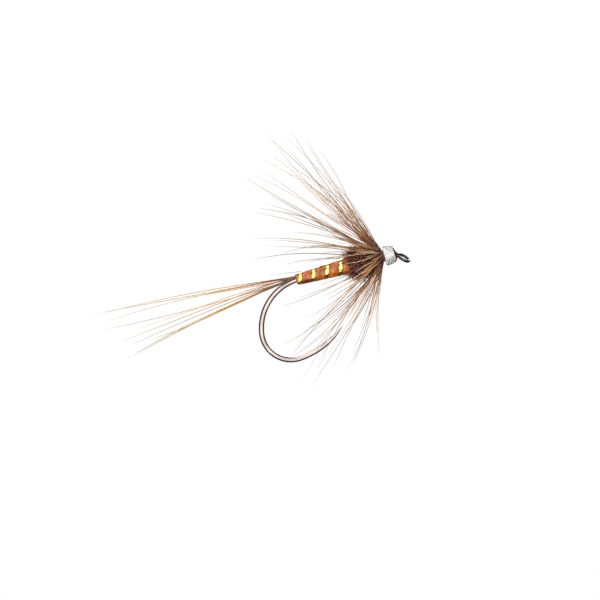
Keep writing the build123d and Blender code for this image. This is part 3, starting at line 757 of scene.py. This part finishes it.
def buildThorax():
    # quill: the barrel, sunk by a share of quillSink so that the flue makes up the rest, with a helical ridge
    # for each turn
    p = thoraxPlan
    rng = np.random.default_rng(p["seed"])
    x = np.linspace(p["rear"], p["front"], p["stations"])
    turn = np.arange(p["around"]) / p["around"]
    full = barrel(x, p["fullest"], p["radius"], p["front"], p["frontRadius"])
    full = full - p["quillSink"] * p["quillShare"]
    shoulder = np.clip((x - p["rear"]) / p["shoulder"], 0, 1)
    full = full - p["shoulderDrop"] * (1 - np.sin(shoulder * np.pi / 2))
    ridge = np.abs(np.cos(np.pi * (x[:, None] / p["quillPitch"] + turn[None]))) * p["ridge"]
    lumps = p["lumpHeight"] * smoothNoise(rng, (p["stations"], p["around"]), p["lumpCells"])
    radii = np.maximum(full[:, None] + ridge - p["ridgeFoot"] + lumps, p["least"])
    verts, faces = turned(x, radii, [p["bore"], p["bore"]])[:2]
    makePiece("thoraxHerl", verts, faces, herlFinish, ["thorax_herl"])

    # flue: curved three-sided spikes that stand out of the quill nearly square, then bend over, mostly back:
    # way = out + lean * forward + twist * round the shank
    count = p["flue"]
    fx = rng.uniform(p["rear"] + p["flueEnds"][0], p["front"] - p["flueEnds"][1], count)
    fa = rng.uniform(0, 360, count)
    fr = barrel(fx, p["fullest"], p["radius"], p["front"], p["frontRadius"]) - p["quillSink"]
    fr = fr - p["shoulderDrop"] * (1 - np.sin(np.clip((fx - p["rear"]) / p["shoulder"], 0, 1) * np.pi / 2))
    out = wayOf(fa, np.full(count, 90.0))
    root = np.stack([fx, np.zeros(count), np.full(count, shank["z"])], -1) + out * fr[:, None]
    lean = rng.normal(*p["flueLean"], count)[:, None]
    twist = rng.normal(0, p["flueTwist"], count)[:, None]
    tangent = wayOf(fa + 90, np.full(count, 90.0))
    rootWay = unit(out + lean * 0.4 * np.array([1.0, 0, 0]) + tangent * twist * 0.5)
    tipWay = unit(out * 0.75 + lean * np.array([1.0, 0, 0]) + tangent * twist)
    length = rng.uniform(*p["flueLength"], count) * rng.uniform(*p["flueUneven"], count)
    length = length * np.where(rng.random(count) < p["longFlue"][0], p["longFlue"][1], 1)
    stations, sides = p["flueStations"], p["flueSides"]
    lines = barbLines(root, rootWay, tipWay, length, stations, 0.0, rng)
    t = np.broadcast_to(np.linspace(0, 1, stations), (count, stations))
    width = p["flueWidth"][0] * (1 - t) + p["flueWidth"][1] * t
    verts, faces = tubes(lines, tangent[:, None], width, width * p["flueThick"], sides)
    tone = rng.uniform(0, 1, count)
    makePiece("thoraxFlue", verts, faces, flueFinish, None,
              {"along": np.repeat(t.reshape(-1), sides), "tone": np.repeat(tone, stations * sides)})


buildThorax()

# the hackle

hacklePlan = {
    # (degrees above the shank line, degrees out to the far side, barbs, length, curl back in degrees)
    "locks": [
        (75, 3, 2, 10.4, 2), (73, 8, 2, 10.9, -3), (65, 5, 3, 12.6, 4), (62, 12, 2, 13.0, -5),
        (57, 17, 3, 12.6, 8), (45, 22, 3, 13.6, 4), (42, 34, 2, 12.8, 12), (24, 34, 2, 12.2, 16),
        (14, 36, 2, 13.0, 20), (6, 38, 2, 11.6, 22), (-9, 38, 2, 12.2, 20), (-27, 33, 3, 12.8, 12),
        (-34, 25, 3, 11.8, 8), (-42, 18, 3, 11.6, -5), (-50, 12, 2, 11.6, 6), (-58, 6, 2, 9.4, 5),
        (-73, 0, 3, 7.6, -6), (-60, -12, 2, 8.4, 5), (-45, -18, 2, 10.4, 8), (-33, -25, 2, 11.2, -5),
        (-20, -36, 2, 9.8, 14), (-22, -58, 2, 6.5, 8), (4, -62, 2, 6.4, 10), (8, -42, 1, 8.0, 18),
        (22, -36, 2, 10.6, 12), (33, -32, 2, 11.6, 8), (47, -22, 2, 12.8, 4), (58, -13, 3, 12.0, 7),
        (68, -5, 2, 12.0, -3),
    ],
    "fan": 5.0, "sweepSpread": 2.5, "shortest": 0.72, "seed": 12, "stemTurns": 3,
    "stemRadius": 0.045, "rootRadius": 0.032,
    # loose ones: (turn, then degrees above the shank line, degrees to the far side, length and curl back)
    "strays": [(0, 44, -8, 6.4, -18), (1, 62, 3, 9.9, 20), (2, 12, -14, 8.8, 20), (1, 6, -10, 6.0, 14)],
    "companions": (2, 1, -15),  # short barbs beside each of the part's own, above and below so many degrees
    "companionLength": (0.25, 0.62),  # their length as a share of the barb they lie beside
    "width": (0.054, 0.020), "thick": (0.036, 0.013), "sway": 0.22,
    "rootScatter": 3, "companionSpread": (2.6, 2.4, 4),  # degrees: of the turn, the sweep and the curl
    "barbulesPerMm": 8.0, "barbuleLength": (0.075, 0.02), "barbulesEnd": 0.28, "stations": 26,
}


def buildHackle():
    # each lock is a fan of barbs about one direction; their roots follow the stem's three turns evenly
    p = hacklePlan
    shuffle = random.Random(p["seed"])
    rng = np.random.default_rng(p["seed"])
    total = sum(lock[2] for lock in p["locks"])
    stemBox = boxOf("hackle_stem")
    ringRadius = stemBox[1, 1] + p["rootRadius"]
    stemRear = stemBox[0, 0] + p["stemRadius"]
    stemPitch = (stemBox[1, 0] - stemBox[0, 0] - 2 * p["stemRadius"]) / p["stemTurns"]
    first = aroundAndSweep(*p["locks"][0][:2])[0]
    above, below, level = p["companions"]
    turns = [[] for _ in range(p["stemTurns"])]
    index = 0
    for rise, splay, barbs, length, curl in p["locks"]:
        lockAround, lockSweep = aroundAndSweep(rise, splay)
        for barb in range(barbs):
            rootAround = first + 360 * index / total
            turn = index % p["stemTurns"]
            index += 1
            around = lockAround + (barb - (barbs - 1) / 2) * p["fan"]
            sweep = lockSweep + shuffle.uniform(-p["sweepSpread"], p["sweepSpread"])
            share = 1 if barb == 0 else shuffle.uniform(p["shortest"], 1)
            turns[turn].append((rootAround, around, sweep, length * share, curl))
            for _ in range(above if rise > level else below):
                beside = rootAround + rng.uniform(-p["rootScatter"], p["rootScatter"])
                swungBy, sweptBy = rng.normal(0, p["companionSpread"][:2])
                shorter = length * share * rng.uniform(*p["companionLength"])
                bent = curl + rng.normal(0, p["companionSpread"][2])
                turns[turn].append((beside, around + swungBy, sweep + sweptBy, shorter, bent))
    strays = [0] * p["stemTurns"]  # how many strays end each turn's list
    for turn, rise, splay, length, curl in p["strays"]:
        around, sweep = aroundAndSweep(rise, splay)
        turns[turn].append((around, around, sweep, length, curl))
        strays[turn] += 1
    for turn, barbs in enumerate(turns):
        rootAround, around, sweep, length, curl = (np.array(a) for a in zip(*barbs))
        rootX = stemRear + (turn + (rootAround % 360) / 360) * stemPitch
        axis = np.stack([rootX, np.zeros(len(rootX)), np.full(len(rootX), shank["z"])], -1)
        root = axis + wayOf(rootAround, np.full(len(rootX), 90.0)) * ringRadius
        lines = barbLines(root, wayOf(around, sweep + curl), wayOf(around, sweep - curl), length,
                          p["stations"], p["sway"], rng)
        side = wayOf(rootAround + 90, np.full(len(rootX), 90.0))[:, None]
        barbPiece(f"hackleBarbsTurn{turn + 1}", lines, side, p, rng, hackleFinish,
                  [f"hackle_barbs_turn_{turn + 1}"], strays[turn])


buildHackle()

# the head

headPlan = {
    "rear": boxOf("head_thread")[0, 0], "front": boxOf("head_thread")[1, 0], "fullest": -1.28,
    "radius": boxOf("head_thread")[1, 1], "frontRadius": 0.69, "thread": 0.09, "groove": 0.30, "bore": 0.475,
    "varnish": 0.02, "noseEnds": -0.33, "noseRadius": 0.18, "boreGap": 0.02,
    "noseTintLead": 0.06, "noseTintRate": 1.6,  # how far behind the front the darker tint starts, and how fast it grows
    "around": 96, "threadStations": 130, "overStations": 40, "noseStations": 25,
}


def neckDrop(x):
    # how far the wire's centre lies under the shank line: an arc, then a straight run down at the eye's tilt
    p = hookPlan
    tilt = math.radians(p["tilt"])
    reach = math.sqrt(p["eyeRing"] ** 2 + 2 * p["eyeRing"] * p["throat"]) + p["neckStraight"]
    ahead = np.clip(x + reach * math.cos(tilt) + p["neckRadius"] * math.sin(tilt), 0, None)
    arc = p["neckRadius"] * math.sin(tilt)
    bent = p["neckRadius"] - np.sqrt(p["neckRadius"] ** 2 - np.minimum(ahead, arc) ** 2)
    return bent + np.clip(ahead - arc, 0, None) * math.tan(tilt)


def buildHead():
    # thread: the barrel with a helical bump for each turn. Between two turns it drops by groove * thread *
    # (1 - sqrt(1 - place ^ 2)), where place goes from -1 to 1 across a turn and its square stops at 0.96
    p = headPlan
    x = np.linspace(p["rear"], p["front"], p["threadStations"])
    turn = np.arange(p["around"]) / p["around"]
    place = (x[:, None] / p["thread"] + turn[None]) % 1 * 2 - 1
    full = barrel(x, p["fullest"], p["radius"], p["front"], p["frontRadius"])[:, None]
    radii = full - p["thread"] * p["groove"] * (1 - np.sqrt(1 - np.minimum(place ** 2, 0.96)))
    verts, faces = turned(x, radii, [p["bore"], p["bore"]])[:2]
    makePiece("headThread", verts, faces, silverThread, ["head_thread"])

    # varnish: out over the barrel and down a nose that follows the neck, back along the wire and the thread.
    # The nose narrows by half a cosine wave: end + (start - end) * (1 + cos(pi * way along)) / 2
    over = np.linspace(p["rear"], p["front"], p["overStations"])
    nose = np.linspace(p["front"], p["noseEnds"], p["noseStations"])[1:]
    way = (nose - p["front"]) / (p["noseEnds"] - p["front"])
    onThread = barrel(over, p["fullest"], p["radius"], p["front"], p["frontRadius"]) + layers["fit"]
    start = onThread[-1] + p["varnish"]
    outer = np.concatenate([onThread + p["varnish"],
                            p["noseRadius"] + (start - p["noseRadius"]) * (1 + np.cos(np.pi * way)) / 2])
    wire = np.full(len(nose), p["noseRadius"] - p["boreGap"])
    stations = np.concatenate([over, nose, nose[::-1], over[::-1]])
    radius = np.concatenate([outer, wire, onThread[::-1]])[:, None]
    angle = turn * 2 * np.pi
    middle = (shank["z"] - neckDrop(stations))[:, None]
    verts = np.stack([np.broadcast_to(stations[:, None], (len(stations), p["around"])),
                      -radius * np.sin(angle), middle + radius * np.cos(angle)], -1)
    # a share from 0 to 1 that darkens and reddens the varnish towards the nose's tip
    ahead = (stations - p["front"] + p["noseTintLead"]) / (p["noseEnds"] - p["front"])
    pooled = np.clip(ahead * p["noseTintRate"], 0, 1)
    makePiece("headVarnish", verts.reshape(-1, 3), gridFaces(len(stations), p["around"], closeRows=True),
              varnishFinish, ["head_varnish"], {"pooled": np.repeat(pooled, p["around"])})


buildHead()

# the pieces that keep their CAD shape take their finish

keptFinishes = {
    "thread_base": brownThread, "tail_lashing": brownThread, "underbody": brownThread,
    "tinsel_tag": tagFinish, "thorax_core": dubbingFinish, "hackle_collar": brownThread,
    "hackle_stem": quillFinish, "hackle_tie_down": brownThread,
}
for nodeName, finish in keptFinishes.items():
    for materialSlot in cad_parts[nodeName].material_slots:
        materialSlot.material = finish
